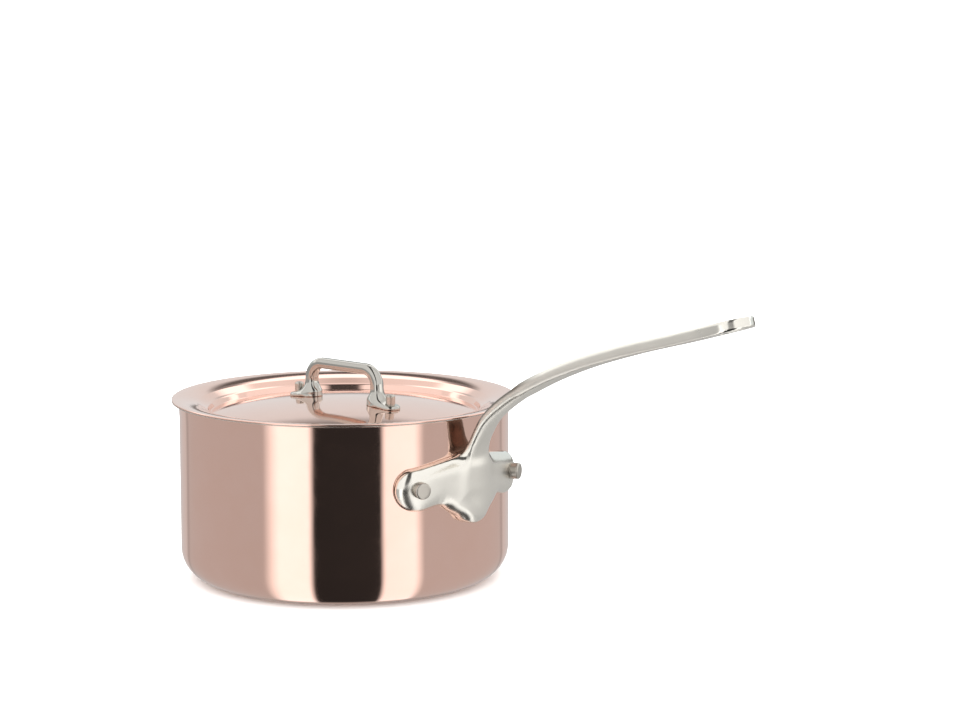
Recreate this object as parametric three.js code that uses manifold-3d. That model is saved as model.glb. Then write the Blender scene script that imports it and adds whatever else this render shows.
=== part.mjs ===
// A straight-sided copper saucepan lined with stainless steel, with a cast steel long handle
// riveted to its wall and a recessed copper lid that carries a riveted steel loop.
//
// Frame: origin at the centre of the base's underside, +X along the long handle, +Z up.
// Lengths are in millimetres and angles in degrees. The lid lies on the rim.

import * as THREE from 'three';
import { mergeVertices } from 'three/addons/utils/BufferGeometryUtils.js';
import Module from 'manifold-3d';

const wasm = await Module();
wasm.setup();

// ---------------------------------------------------------------- driving dimensions

// Pan
const panOuterRadius = 81.5;
const panHeight = 88;
const baseCornerRadius = 15.5;
const panCopperWall = 1.2;
const panLiningWall = 0.3;
const lipFlare = 0.35;
const lipFlareHeight = 8;

// Lid
const lidOverhang = 3.7;
const lidCopperWall = 0.9;
const lidLiningWall = 0.3;
const flangeRoll = 0.1;
const recessGap = 6.4;
const recessStep = 7.3;
const recessDepth = 7.6;
const domeRadius = 380;
const flangeCrown = 0.2;
// The recess's lower bend, [out from the disc's edge, up from it].
const recessBend = [[0.3, 0.5], [1, 2.2], [2, 3], [3.6, 3.9]];
// The bend from the recess wall into the flange, [out from the recess, up from the flange's top].
const flangeBend = [[-0.4, -2], [1.4, -1.4], [5.4, -0.5]];

// Long handle: escutcheon plate
const plateThickness = 6;
const plateEdgeRound = 2.2;
const rivetDrop = 30.5;
const rivetAngle = 22;
const sideLobeLength = 11.7;
const sideLobeRadius = 10.4;
const plateTopRise = 13.4;
const plateTopHalfWidth = 8;
const plateTopCrown = 0.3;
const waistAcross = 20.5;
const waistDrop = 8.6;
const lowerLobeRadius = 12.5;
const lowerLobeDrop = 7.7;
const lobeShoulderAcross = 1.7;
const lobeShoulderDrop = 4.7;

// Long handle: blade
const handleReach = 164.5;
const handleRise = 91;
const rootWidth = 15;
const neckWidth = 13;
const middleWidth = 15.5;
const outerWidth = 17;
const eyeWidth = 23;
const rootThickness = 4.2;
const neckThickness = 5;
const bendThickness = 6;
const middleThickness = 5.6;
const eyeThickness = 5;
const hangingHoleLength = 15;
const hangingHoleWidth = 8;

// Lid loop
const loopLegSpan = 45;
const loopHeight = 19.9;
const loopBarWidth = 6;
const loopBarDepth = 5.6;
const loopCornerRadius = 8;
const loopLegSplay = 0.8;
const loopLegStraight = 5;
const loopFootFlare = 1.25;
const loopFootLength = 19;
const loopFootWidth = 9.6;
const loopFootHeight = 2.8;
const loopFootTaper = 0.62;
const loopRivetSpan = 63;

// Rivets
const handleRivetRadius = 4;
const handleRivetStub = 4.4;
const handleRivetHeadRadius = 6.5;
const handleRivetHeadHeight = 2.4;
const lidRivetRadius = 2.3;
const lidRivetStub = 3.9;
const lidRivetHeadRadius = 4;
const lidRivetHeadHeight = 1.6;
// A rivet head's domed side, [share of its radius, share of its height], from its crown to its seat.
const headDome = [[0, 1], [0.6, 0.85], [0.88, 0.45], [1, 0]];
const stubChamfer = 0.6;

// Clearances between touching pieces
const seatGap = 0.3;
const rivetGap = 0.3;

// How far a cutter runs past what it cuts
const cutOverrun = 9;

// Fineness of the facets
const turnSegments = 48;
const sectionSegments = 12;
const plateOutlinePoints = 44;
const bladeStations = 14;

// ---------------------------------------------------------------- values tied to the dimensions

const degrees = Math.PI / 180;
const panWall = panCopperWall + panLiningWall;
const panInnerRadius = panOuterRadius - panWall;
const lidWall = lidCopperWall + lidLiningWall;
const lidSeatZ = panHeight + seatGap;
const flangeTopZ = lidSeatZ + lidWall + flangeCrown;
const flangeRadius = panOuterRadius + lidOverhang;
const recessRadius = panInnerRadius - recessGap;
const discRadius = recessRadius - recessStep;
const discEdgeZ = flangeTopZ - recessDepth;
const domeCentreZ = discEdgeZ - Math.sqrt(domeRadius ** 2 - discRadius ** 2);
const rivetZ = panHeight - rivetDrop;
const plateBackRadius = panOuterRadius + seatGap;
const plateFrontRadius = plateBackRadius + plateThickness;

// ---------------------------------------------------------------- materials

/** A bare metal with its colour and polish. */
function metal(color, roughness) {
  return new THREE.MeshStandardMaterial({ color, roughness, metalness: 1 });
}

const polishedCopper = metal(0xdfa78c, 0.08);
const satinSteel = metal(0xc5c2bb, 0.35);
const polishedSteel = metal(0xd2d0cb, 0.12);

// ---------------------------------------------------------------- geometry helpers

/** Keeps positions only, merges shared corners and drops flat triangles, so that the skin closes. */
function closed(source) {
  const bare = new THREE.BufferGeometry();
  bare.setAttribute('position', source.getAttribute('position').clone());
  if (source.getIndex()) bare.setIndex(source.getIndex().clone());
  const merged = mergeVertices(bare, 1e-4);
  const corners = merged.getIndex().array;
  const kept = [];
  for (let i = 0; i < corners.length; i += 3) {
    const [a, b, c] = [corners[i], corners[i + 1], corners[i + 2]];
    if (a !== b && b !== c && c !== a) kept.push(a, b, c);
  }
  merged.setIndex(kept);
  return merged;
}

/** Turns a closed geometry into a solid for joining and cutting. */
function toSolid(geometry) {
  const skin = closed(geometry);
  return new wasm.Manifold(new wasm.Mesh({
    numProp: 3,
    vertProperties: new Float32Array(skin.getAttribute('position').array),
    triVerts: new Uint32Array(skin.getIndex().array),
  }));
}

/** Turns a solid back into a geometry. */
function fromSolid(solid) {
  const mesh = solid.getMesh();
  const geometry = new THREE.BufferGeometry();
  geometry.setAttribute('position', new THREE.BufferAttribute(new Float32Array(mesh.vertProperties), 3));
  geometry.setIndex(Array.from(mesh.triVerts));
  return geometry;
}

/** Turns a profile of [radius, height] points about the Z axis. */
function turned(profile, segments = turnSegments) {
  const points = profile.map(([radius, height]) => new THREE.Vector2(radius, height));
  return closed(new THREE.LatheGeometry(points, segments).rotateX(Math.PI / 2));
}

/** Points of an arc in a profile, from one angle to another, both ends included. */
function arc(centre, radius, from, to, steps) {
  return Array.from({ length: steps + 1 }, (_, i) => {
    const angle = (from + ((to - from) * i) / steps) * degrees;
    return [centre[0] + radius * Math.cos(angle), centre[1] + radius * Math.sin(angle)];
  });
}

/** Moves an open profile sideways by a distance, to the right of its direction of travel. */
function offset(profile, distance) {
  return profile.map((point, i) => {
    const before = profile[Math.max(i - 1, 0)];
    const after = profile[Math.min(i + 1, profile.length - 1)];
    const along = new THREE.Vector2(after[0] - before[0], after[1] - before[1]).normalize();
    return [Math.max(point[0] + along.y * distance, 0), point[1] - along.x * distance];
  });
}

/** Skins a row of rings of equal size and closes both ends with fans. */
function lofted(rings) {
  const count = rings[0].length;
  const positions = rings.flat().flatMap((point) => point.toArray());
  const faces = [];
  for (let ring = 0; ring + 1 < rings.length; ring += 1) {
    for (let i = 0; i < count; i += 1) {
      const a = ring * count + i;
      const b = ring * count + ((i + 1) % count);
      faces.push(a, b, a + count, b, b + count, a + count);
    }
  }
  const ends = [[0, 1], [rings.length - 1, -1]];
  for (const [ring, sense] of ends) {
    const middle = new THREE.Vector3();
    rings[ring].forEach((point) => middle.add(point));
    middle.divideScalar(count);
    const centre = positions.length / 3;
    positions.push(...middle.toArray());
    for (let i = 0; i < count; i += 1) {
      const a = ring * count + i;
      const b = ring * count + ((i + 1) % count);
      faces.push(...(sense > 0 ? [centre, b, a] : [centre, a, b]));
    }
  }
  const geometry = new THREE.BufferGeometry();
  geometry.setAttribute('position', new THREE.Float32BufferAttribute(positions, 3));
  geometry.setIndex(faces);
  return geometry;
}

/** A rounded rectangle section, softer than a box and fuller than an ellipse. */
function roundedSection(halfWidth, halfDepth, fullness = 0.72) {
  return Array.from({ length: sectionSegments }, (_, i) => {
    const angle = (2 * Math.PI * i) / sectionSegments;
    const soften = (value) => Math.sign(value) * Math.abs(value) ** fullness;
    return [halfWidth * soften(Math.cos(angle)), halfDepth * soften(Math.sin(angle))];
  });
}

/** One ring of a bar: its section set square to the path, with its width along the side vector. */
function barRing(centre, tangent, side, halfWidth, halfDepth) {
  const up = new THREE.Vector3().crossVectors(tangent, side).normalize();
  return roundedSection(halfWidth, halfDepth).map(([across, deep]) =>
    centre.clone().addScaledVector(side, across).addScaledVector(up, deep));
}

/** A plain pin along +Z, used to cut holes. */
function pin(radius, from, to) {
  return turned([[0, from], [radius, from], [radius, to], [0, to]], 24);
}

const saucepan = new THREE.Group();

/** Adds a named mesh to the group. */
function addPiece(name, geometry, material) {
  const piece = new THREE.Mesh(geometry, material);
  piece.name = name;
  saucepan.add(piece);
}

// ---------------------------------------------------------------- pan

/** A face of the pan's wall from the axis to the rim, set in from the outside by a depth. */
function panFace(depth) {
  const radius = panOuterRadius - depth;
  const corner = baseCornerRadius - depth;
  return [
    [0, depth],
    ...arc([radius - corner, baseCornerRadius], corner, -90, 0, 6),
    [radius, panHeight - lipFlareHeight],
    [radius + lipFlare, panHeight],
  ];
}

/** A shell between two faces of the pan's wall. */
function panLayer(outerDepth, innerDepth) {
  return turned([...panFace(outerDepth), ...panFace(innerDepth).reverse()]);
}

/** Puts a geometry made along +Z onto a rivet's axis, which leaves the pan's wall squarely. */
function onHandleRivetAxis(geometry, side) {
  return geometry.rotateY(Math.PI / 2).rotateZ(side * rivetAngle * degrees).translate(0, 0, rivetZ);
}

/** Cuts both handle rivets' holes through a solid. */
function withHandleRivetHoles(solid) {
  return [-1, 1].reduce((left, side) => {
    const [from, to] = [panInnerRadius - cutOverrun, plateFrontRadius + cutOverrun];
    const hole = pin(handleRivetRadius + rivetGap, from, to);
    return left.subtract(toSolid(onHandleRivetAxis(hole, side)));
  }, solid);
}

// ---------------------------------------------------------------- long handle

/** The plate's three-lobed outline as it lies on the wall, [across, up] from between the rivets. */
function plateOutline(inset) {
  const lobeAcross = rivetAngle * degrees * plateFrontRadius;
  const lobe = arc([0, 0], 1, 95, -95, 6)
    .map(([x, y]) => [lobeAcross + sideLobeLength * x, sideLobeRadius * y]);
  const half = [
    [plateTopHalfWidth, plateTopRise],
    ...lobe,
    [waistAcross, -waistDrop],
    [lowerLobeRadius + lobeShoulderAcross, -lowerLobeDrop - lobeShoulderDrop],
    ...arc([0, -lowerLobeDrop], lowerLobeRadius, -38, -64, 1),
  ];
  const mirrored = half.map(([x, y]) => [-x, y]).reverse();
  const top = [0, plateTopRise + plateTopCrown];
  const bottom = [0, -lowerLobeDrop - lowerLobeRadius];
  const corners = [top, ...half, bottom, ...mirrored].map(([x, y]) => new THREE.Vector3(x, y, 0));
  const curve = new THREE.CatmullRomCurve3(corners, true, 'centripetal');
  const points = curve.getSpacedPoints(plateOutlinePoints).slice(0, -1);
  return points.map((point, i) => {
    const before = points.at(i - 1);
    const after = points[(i + 1) % points.length];
    const inward = new THREE.Vector3(after.y - before.y, before.x - after.x, 0).normalize();
    return point.clone().addScaledVector(inward, inset);
  }).reverse();
}

/** Lays a plate outline on the pan's wall at a radius, shrunk towards its middle by a factor. */
function plateRing(inset, shrink, radius) {
  return plateOutline(inset).map((point) => {
    const angle = (point.x * shrink) / plateFrontRadius;
    return new THREE.Vector3(radius * Math.cos(angle), radius * Math.sin(angle), rivetZ + point.y * shrink);
  });
}

/** The escutcheon plate: it follows the wall and its front edge is rounded. */
function plateGeometry() {
  const shrinks = [0.25, 0.5, 0.75];
  const roundings = [0, 30, 60, 90].map((angle) => [
    plateEdgeRound * (1 - Math.cos(angle * degrees)),
    plateFrontRadius - plateEdgeRound * (1 - Math.sin(angle * degrees)),
  ]);
  return lofted([
    ...shrinks.map((shrink) => plateRing(0, shrink, plateBackRadius)),
    plateRing(0, 1, plateBackRadius),
    ...roundings.map(([inset, radius]) => plateRing(inset, 1, radius)),
    ...shrinks.toReversed().map((shrink) => plateRing(plateEdgeRound, shrink, plateFrontRadius)),
  ]);
}

/** The blade's centre line: out of the plate, up past the rim in a swan neck, then a long shallow rise. */
const bladePath = new THREE.CatmullRomCurve3([
  [0.0155, -0.03], [0.025, 0.088], [0.041, 0.176], [0.062, 0.263], [0.0925, 0.348], [0.145, 0.432],
  [0.258, 0.559], [0.416, 0.686], [0.599, 0.795], [0.793, 0.891], [1, 1],
].map(([out, up]) => new THREE.Vector3(panOuterRadius + out * handleReach, 0, rivetZ + up * handleRise)));

/** Reads a value from a list of [share of the length, value] stops. */
function between(stops, share) {
  const next = Math.max(stops.findIndex(([at]) => at >= share), 1);
  const [[from, low], [to, high]] = [stops[next - 1], stops[next]];
  return THREE.MathUtils.lerp(low, high, THREE.MathUtils.clamp((share - from) / (to - from), 0, 1));
}

/** The blade: narrow at the neck, then wider out to a round end. */
function bladeGeometry() {
  const length = bladePath.getLength();
  const endRadius = eyeWidth / 2;
  const widths = [
    [0, rootWidth], [0.12, neckWidth], [0.2, neckWidth],
    [0.4, middleWidth], [0.65, outerWidth], [1, eyeWidth],
  ];
  const thicknesses = [
    [0, rootThickness], [0.12, neckThickness], [0.25, bendThickness],
    [0.5, middleThickness], [1, eyeThickness],
  ];
  const straightShare = 1 - endRadius / length;
  const straight = Array.from({ length: bladeStations }, (_, i) => (i * straightShare) / (bladeStations - 1));
  const endAngles = [72, 54, 38, 24, 12];
  const rounded = endAngles.map((angle) => 1 - (endRadius * (1 - Math.cos(angle * degrees))) / length);
  return lofted([...straight, ...rounded].map((share) => {
    const fromEnd = Math.min(length * (1 - share), endRadius);
    const rounding = Math.sqrt(endRadius ** 2 - (endRadius - fromEnd) ** 2) / endRadius;
    return barRing(
      bladePath.getPointAt(share),
      bladePath.getTangentAt(share),
      new THREE.Vector3(0, 1, 0),
      (between(widths, share) / 2) * rounding,
      between(thicknesses, share) / 2,
    );
  }));
}

/** The long hole in the blade's round end that the pan hangs by. */
function hangingHole() {
  const share = 1 - (eyeWidth / 2) / bladePath.getLength();
  const tangent = bladePath.getTangentAt(share);
  const endRadius = hangingHoleWidth / 2;
  const reach = hangingHoleLength / 2 - endRadius;
  const outline = new THREE.Shape();
  outline.absarc(reach, 0, endRadius, -Math.PI / 2, Math.PI / 2, false);
  outline.absarc(-reach, 0, endRadius, Math.PI / 2, Math.PI * 1.5, false);
  const depth = eyeThickness * 4;
  const cutter = new THREE.ExtrudeGeometry(outline, { depth, bevelEnabled: false, curveSegments: 6 });
  cutter.translate(0, 0, -depth / 2).rotateY(-Math.atan2(tangent.z, tangent.x));
  const at = bladePath.getPointAt(share);
  return toSolid(cutter.translate(at.x, at.y, at.z));
}

/** The whole casting, drilled for its two rivets and pierced at its end. */
function longHandle() {
  const casting = toSolid(plateGeometry()).add(toSolid(bladeGeometry()));
  return fromSolid(withHandleRivetHoles(casting).subtract(hangingHole()));
}

/** A rivet along +Z: a domed head below its seat, a shank and a chamfered stub. */
function rivet(headRadius, headHeight, seat, radius, stubEnd, segments) {
  return turned([
    ...headDome.map(([out, down]) => [headRadius * out, seat - headHeight * down]),
    [radius, seat],
    [radius, stubEnd - stubChamfer],
    [radius - stubChamfer, stubEnd],
    [0, stubEnd],
  ], segments);
}

/** A handle rivet along +Z: its head is inside the pan and its stub outside the plate. */
function handleRivet() {
  const seat = Math.sqrt(panInnerRadius ** 2 - handleRivetHeadRadius ** 2) - seatGap;
  const stubEnd = plateFrontRadius + handleRivetStub;
  return rivet(handleRivetHeadRadius, handleRivetHeadHeight, seat, handleRivetRadius, stubEnd, 20);
}

// ---------------------------------------------------------------- lid

/** Height of the lid's domed disc at a distance from the axis. */
function domeZ(radius) {
  return domeCentreZ + Math.sqrt(domeRadius ** 2 - radius ** 2);
}

/** The lid's upper face: dome, stepped recess wall and a flange that lies over the rim. */
const lidFace = [
  ...[0, 0.4, 0.75, 1].map((share) => share * (discRadius - 1)).map((radius) => [radius, domeZ(radius)]),
  ...recessBend.map(([out, up]) => [discRadius + out, discEdgeZ + up]),
  ...flangeBend.map(([out, up]) => [recessRadius + out, flangeTopZ + up]),
  [panOuterRadius, flangeTopZ - flangeRoll],
  [flangeRadius, flangeTopZ],
];

/** A layer of the lid between two depths below its upper face. */
function lidLayer(upperDepth, lowerDepth) {
  return turned([...offset(lidFace, lowerDepth), ...offset(lidFace, upperDepth).reverse()]);
}

/** Cuts both lid rivets' holes through a solid. */
function withLidRivetHoles(solid) {
  return [-1, 1].reduce((left, side) => {
    const hole = pin(lidRivetRadius + rivetGap, discEdgeZ - cutOverrun, flangeTopZ + cutOverrun);
    return left.subtract(toSolid(hole.translate((side * loopRivetSpan) / 2, 0, 0)));
  }, solid);
}

/** One foot of the loop: a low pad, broad round its rivet, whose underside follows the dome. */
function footGeometry(side) {
  const outerRadius = loopFootWidth / 2;
  const innerRadius = outerRadius * loopFootTaper;
  const innerEnd = loopRivetSpan / 2 + outerRadius - loopFootLength + innerRadius;
  const ring = (inset, height) => Array.from({ length: sectionSegments }, (_, i) => {
    const angle = (2 * Math.PI * (i + 0.5)) / sectionSegments;
    const [centre, radius] = Math.cos(angle) > 0 ? [loopRivetSpan / 2, outerRadius] : [innerEnd, innerRadius];
    const along = centre + (radius - inset) * Math.cos(angle);
    const across = (radius - inset) * Math.sin(angle);
    return new THREE.Vector3(along, across, domeZ(Math.hypot(along, across)) + seatGap + height);
  });
  const foot = lofted([
    ring(0, 0),
    ring(0, loopFootHeight * 0.4),
    ring(0.7, loopFootHeight * 0.8),
    ring(1.9, loopFootHeight),
  ]);
  return side > 0 ? foot : foot.rotateZ(Math.PI);
}

/** The loop's bar: up one leg, across and down the other, with its corners rounded. */
function loopBarGeometry() {
  const half = loopLegSpan / 2;
  const footZ = domeZ(half) + seatGap;
  const cornerZ = footZ + loopHeight - loopBarDepth / 2 - loopCornerRadius;
  const leg = [[half, footZ + loopLegStraight], [half + loopLegSplay, footZ + 1]];
  const path = [
    ...leg.map(([x, z]) => [-x, z]).reverse(),
    ...arc([-half + loopCornerRadius, cornerZ], loopCornerRadius, 180, 90, 5),
    ...arc([half - loopCornerRadius, cornerZ], loopCornerRadius, 90, 0, 5),
    ...leg,
  ].map(([x, z]) => new THREE.Vector3(x, 0, z));
  return lofted(path.map((point, i) => {
    const tangent = path[Math.min(i + 1, path.length - 1)].clone().sub(path[Math.max(i - 1, 0)]).normalize();
    const flare = i === 0 || i === path.length - 1 ? loopFootFlare : 1;
    const side = new THREE.Vector3(0, 1, 0);
    return barRing(point, tangent, side, (loopBarWidth / 2) * flare, (loopBarDepth / 2) * flare);
  }));
}

/** The loop with both feet, drilled for its rivets. */
function lidLoop() {
  const bar = toSolid(loopBarGeometry());
  const whole = bar.add(toSolid(footGeometry(-1))).add(toSolid(footGeometry(1)));
  return fromSolid(withLidRivetHoles(whole));
}

/** A lid rivet: a low head under the lid, a shank and a stub above the foot. */
function lidRivet(side) {
  const outermost = loopRivetSpan / 2 + lidRivetHeadRadius;
  const seat = domeZ(outermost) - lidWall - seatGap;
  const stubEnd = domeZ(loopRivetSpan / 2) + seatGap + loopFootHeight + lidRivetStub;
  return rivet(lidRivetHeadRadius, lidRivetHeadHeight, seat, lidRivetRadius, stubEnd, 16)
    .translate((side * loopRivetSpan) / 2, 0, 0);
}

// ---------------------------------------------------------------- pieces

const panShell = toSolid(panLayer(0, panCopperWall));
const panLining = toSolid(panLayer(panCopperWall, panWall));
addPiece('pan_shell', fromSolid(withHandleRivetHoles(panShell)), polishedCopper);
addPiece('pan_lining', fromSolid(withHandleRivetHoles(panLining)), satinSteel);
addPiece('long_handle', longHandle(), satinSteel);

const lidShell = toSolid(lidLayer(0, lidCopperWall));
const lidLining = toSolid(lidLayer(lidCopperWall, lidWall));
addPiece('lid_shell', fromSolid(withLidRivetHoles(lidShell)), polishedCopper);
addPiece('lid_lining', fromSolid(withLidRivetHoles(lidLining)), satinSteel);
addPiece('lid_loop', lidLoop(), polishedSteel);

for (const [end, side] of [['right', -1], ['left', 1]]) {
  addPiece(`handle_rivet_${end}`, onHandleRivetAxis(handleRivet(), side), polishedSteel);
}
for (const [end, side] of [['rear', -1], ['front', 1]]) {
  addPiece(`lid_rivet_${end}`, lidRivet(side), polishedSteel);
}

export default saucepan;
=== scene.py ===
"""Finished look of a copper saucepan with a recessed copper lid, cast steel long handle and loop.

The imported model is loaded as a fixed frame, and every piece here lies where its solid lies.
Lengths inside the shape functions are millimetres; meshes are written in metres.
"""

import math

import bpy
import numpy as np
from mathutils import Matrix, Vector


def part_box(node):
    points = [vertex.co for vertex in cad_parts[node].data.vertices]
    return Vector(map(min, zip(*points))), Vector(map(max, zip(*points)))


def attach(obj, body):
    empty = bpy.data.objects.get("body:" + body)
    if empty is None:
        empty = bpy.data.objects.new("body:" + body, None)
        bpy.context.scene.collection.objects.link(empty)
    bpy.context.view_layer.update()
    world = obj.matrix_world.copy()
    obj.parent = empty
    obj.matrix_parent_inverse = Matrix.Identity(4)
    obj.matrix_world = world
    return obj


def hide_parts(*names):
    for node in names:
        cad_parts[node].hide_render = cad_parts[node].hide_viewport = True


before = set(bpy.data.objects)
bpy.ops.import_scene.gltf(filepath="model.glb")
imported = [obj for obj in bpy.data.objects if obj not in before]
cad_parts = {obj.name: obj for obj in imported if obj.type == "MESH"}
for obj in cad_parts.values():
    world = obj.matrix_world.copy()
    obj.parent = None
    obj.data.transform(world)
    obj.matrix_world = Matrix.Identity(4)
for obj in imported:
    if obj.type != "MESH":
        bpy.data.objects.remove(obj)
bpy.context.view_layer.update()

bl_info = {
    "name": "Copper saucepan",
    "version": (1, 0, 0),
    "blender": (4, 5, 0),
    "location": "3D View > Sidebar > Saucepan",
    "description": "Builds the finished pieces of a copper saucepan on its packed frame",
    "category": "Object",
}

MM = 0.001

# ---------------------------------------------------------------- sizes that follow from the frame

PAN_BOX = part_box("pan_shell")
LID_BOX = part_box("lid_shell")
LOOP_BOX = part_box("lid_loop")
HANDLE_RIVET_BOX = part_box("handle_rivet_left")
LID_RIVET_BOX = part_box("lid_rivet_front")

LIP_FLARE = 0.35
LIP_FLARE_HEIGHT = 8.0
PAN_HEIGHT = PAN_BOX[1].z / MM
PAN_RADIUS = PAN_BOX[1].x / MM - LIP_FLARE
BASE_CORNER = 15.5
COPPER_WALL = 1.2
LINING_WALL = 0.3
BOND_GAP = 0.01
INNER_RADIUS = PAN_RADIUS - COPPER_WALL - LINING_WALL

FLANGE_RADIUS = LID_BOX[1].x / MM
LID_COPPER = 0.9
LID_LINING = 0.3
SEAT_GAP = 0.3
FLANGE_LIFT = 0.2
RECESS_CLEARANCE = 6.4
RECESS_FLARE = 7.3
RECESS_DEPTH = 7.6
FLANGE_TOP = PAN_HEIGHT + SEAT_GAP + LID_COPPER + LID_LINING + FLANGE_LIFT
RECESS_RADIUS = INNER_RADIUS - RECESS_CLEARANCE
DISC_RADIUS = RECESS_RADIUS - RECESS_FLARE
DISC_EDGE = FLANGE_TOP - RECESS_DEPTH
DOME_RADIUS = 380.0
FLANGE_ROLL = 36.0
DOME_CENTRE = DISC_EDGE - math.sqrt(DOME_RADIUS ** 2 - DISC_RADIUS ** 2)

RIVET_ANGLE = math.radians(22)
RIVET_HEIGHT = (HANDLE_RIVET_BOX[0].z + HANDLE_RIVET_BOX[1].z) / 2 / MM
PLATE_GAP = 0.1
PLATE_STAND = 6.2
PLATE_CROWN = 0.8
PLATE_SWELL = 2.6
PLATE_BACK = PAN_RADIUS + PLATE_GAP
PLATE_FRONT = PAN_RADIUS + PLATE_STAND
HANDLE_REACH = 164.5
HANDLE_RISE = 91.0
EYE_WIDTH = 23.0
HOLE_LENGTH = 15.0
HOLE_WIDTH = 8.0
LOOP_LEG_SPAN = 45.0
LOOP_BEND = 8.0
LOOP_BAR_WIDTH = 6.0
LOOP_BAR_DEPTH = 5.6
LID_RIVET_ACROSS = (LID_RIVET_BOX[0].x + LID_RIVET_BOX[1].x) / 2 / MM


def linear(hex_colour):
    """An sRGB hex colour as linear red, green, blue and an alpha of one."""
    channels = [int(hex_colour[i:i + 2], 16) / 255 for i in (1, 3, 5)]
    return tuple(c / 12.92 if c <= 0.04045 else ((c + 0.055) / 1.055) ** 2.4 for c in channels) + (1.0,)


def add_node(tree, kind, settings=None, sockets=None):
    """Adds a node, applies its settings, and links or fills its sockets by name or number."""
    node = tree.nodes.new(kind)
    for name, value in (settings or {}).items():
        setattr(node, name, value)
    for key, value in (sockets or {}).items():
        named = [s for s in node.inputs if s.name == key and s.enabled]
        socket = node.inputs[key] if isinstance(key, int) else named[0]
        if isinstance(value, bpy.types.NodeSocket):
            tree.links.new(value, socket)
        else:
            socket.default_value = value
    return node


def fill_ramp(node, stops, interpolation="LINEAR"):
    """Sets the stops of a colour ramp from a list of (position, grey or colour)."""
    ramp = node.color_ramp
    ramp.interpolation = interpolation
    while len(ramp.elements) < len(stops):
        ramp.elements.new(0.5)
    for element, (position, colour) in zip(ramp.elements, stops):
        element.position = position
    for element, (position, colour) in zip(ramp.elements, stops):
        element.color = colour if isinstance(colour, tuple) else (colour, colour, colour, 1.0)


# ---------------------------------------------------------------- settings a user would change

class SaucepanFinishes(bpy.types.PropertyGroup):
    """Colours and polish of the saucepan's metals."""

    copper: bpy.props.FloatVectorProperty(
        name="Copper", description="Reflected colour of freshly polished copper",
        default=linear("#FAD4C6"), size=4, min=0, max=1, subtype="COLOR")
    aged_copper: bpy.props.FloatVectorProperty(
        name="Handled copper", description="Reflected colour where handling has warmed the copper",
        default=linear("#F7CDBC"), size=4, min=0, max=1, subtype="COLOR")
    lining: bpy.props.FloatVectorProperty(
        name="Lining", description="Reflected colour of the stainless lining",
        default=linear("#CBC8C2"), size=4, min=0, max=1, subtype="COLOR")
    casting: bpy.props.FloatVectorProperty(
        name="Cast steel", description="Reflected colour of the cast stainless steel",
        default=linear("#EFEBE2"), size=4, min=0, max=1, subtype="COLOR")
    # Painted reflection: a dark brown base colour behind the neck stands in for the shaded copper wall that the
    # back of the neck mirrors.
    neck_wall_reflection_paint: bpy.props.FloatVectorProperty(
        name="Painted neck reflection", description="Dark brown painted behind the neck as a reflection of the shaded copper wall",
        default=linear("#6E6258"), size=4, min=0, max=1, subtype="COLOR")
    loop: bpy.props.FloatVectorProperty(
        name="Loop steel", description="Reflected colour of the lid's buffed loop",
        default=linear("#BFBCB5"), size=4, min=0, max=1, subtype="COLOR")
    rivet: bpy.props.FloatVectorProperty(
        name="Rivet steel", description="Reflected colour of the rivets",
        default=linear("#BFB9B0"), size=4, min=0, max=1, subtype="COLOR")
    copper_roughness: bpy.props.FloatProperty(
        name="Copper roughness", description="Blur of the copper's mirror polish",
        default=0.07, min=0, max=1, subtype="FACTOR")
    casting_roughness: bpy.props.FloatProperty(
        name="Casting roughness", description="Blur of the long handle's satin blade",
        default=0.36, min=0, max=1, subtype="FACTOR")


class SaucepanSizes(bpy.types.PropertyGroup):
    """Sizes that shape the finished pieces without moving them off the frame."""

    turn_segments: bpy.props.IntProperty(
        name="Turn segments", description="Facets round each spun shell", default=256, min=48, max=720)
    rim_round: bpy.props.FloatProperty(
        name="Rim rounding", description="Radius left on the shells' cut edges",
        default=0.4 * MM, min=0.05 * MM, max=0.6 * MM, unit="LENGTH")
    plate_round: bpy.props.FloatProperty(
        name="Plate edge", description="Radius along the plate's front edge",
        default=4.2 * MM, min=0.5 * MM, max=5 * MM, unit="LENGTH")
    neck_fillet: bpy.props.FloatProperty(
        name="Neck fillet", description="Blend between the neck and the plate",
        default=9 * MM, min=1 * MM, max=20 * MM, unit="LENGTH")
    loop_fillet: bpy.props.FloatProperty(
        name="Loop fillet", description="Blend between the loop's legs and its feet",
        default=6.5 * MM, min=0.5 * MM, max=12 * MM, unit="LENGTH")
    handle_pitch: bpy.props.FloatProperty(
        name="Handle mesh pitch", description="Spacing of the long handle's mesh",
        default=0.65 * MM, min=0.4 * MM, max=2 * MM, unit="LENGTH")
    loop_pitch: bpy.props.FloatProperty(
        name="Loop mesh pitch", description="Spacing of the lid loop's mesh",
        default=0.35 * MM, min=0.25 * MM, max=1 * MM, unit="LENGTH")


class SaucepanStudio(bpy.types.PropertyGroup):
    """Place of the camera and strength of the light."""

    camera_place: bpy.props.FloatVectorProperty(
        name="Camera place", description="Where the camera stands", size=3,
        default=(0.93136, -0.95107, 0.30478), subtype="TRANSLATION", unit="LENGTH")
    camera_pitch: bpy.props.FloatProperty(
        name="Camera pitch", description="How far the camera looks down",
        default=0.1482, subtype="ANGLE", unit="ROTATION")
    camera_heading: bpy.props.FloatProperty(
        name="Camera heading", description="Turn of the camera about the upright axis",
        default=math.radians(44.4) - 0.0517, subtype="ANGLE", unit="ROTATION")
    lens: bpy.props.FloatProperty(
        name="Lens", description="Focal length on a 36 mm sensor", default=101.18, min=20, max=300)
    fill_light: bpy.props.FloatProperty(
        name="Fill light", description="Strength of the even light that falls on the floor",
        default=2.4, min=0, max=5)


# ---------------------------------------------------------------- materials

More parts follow.
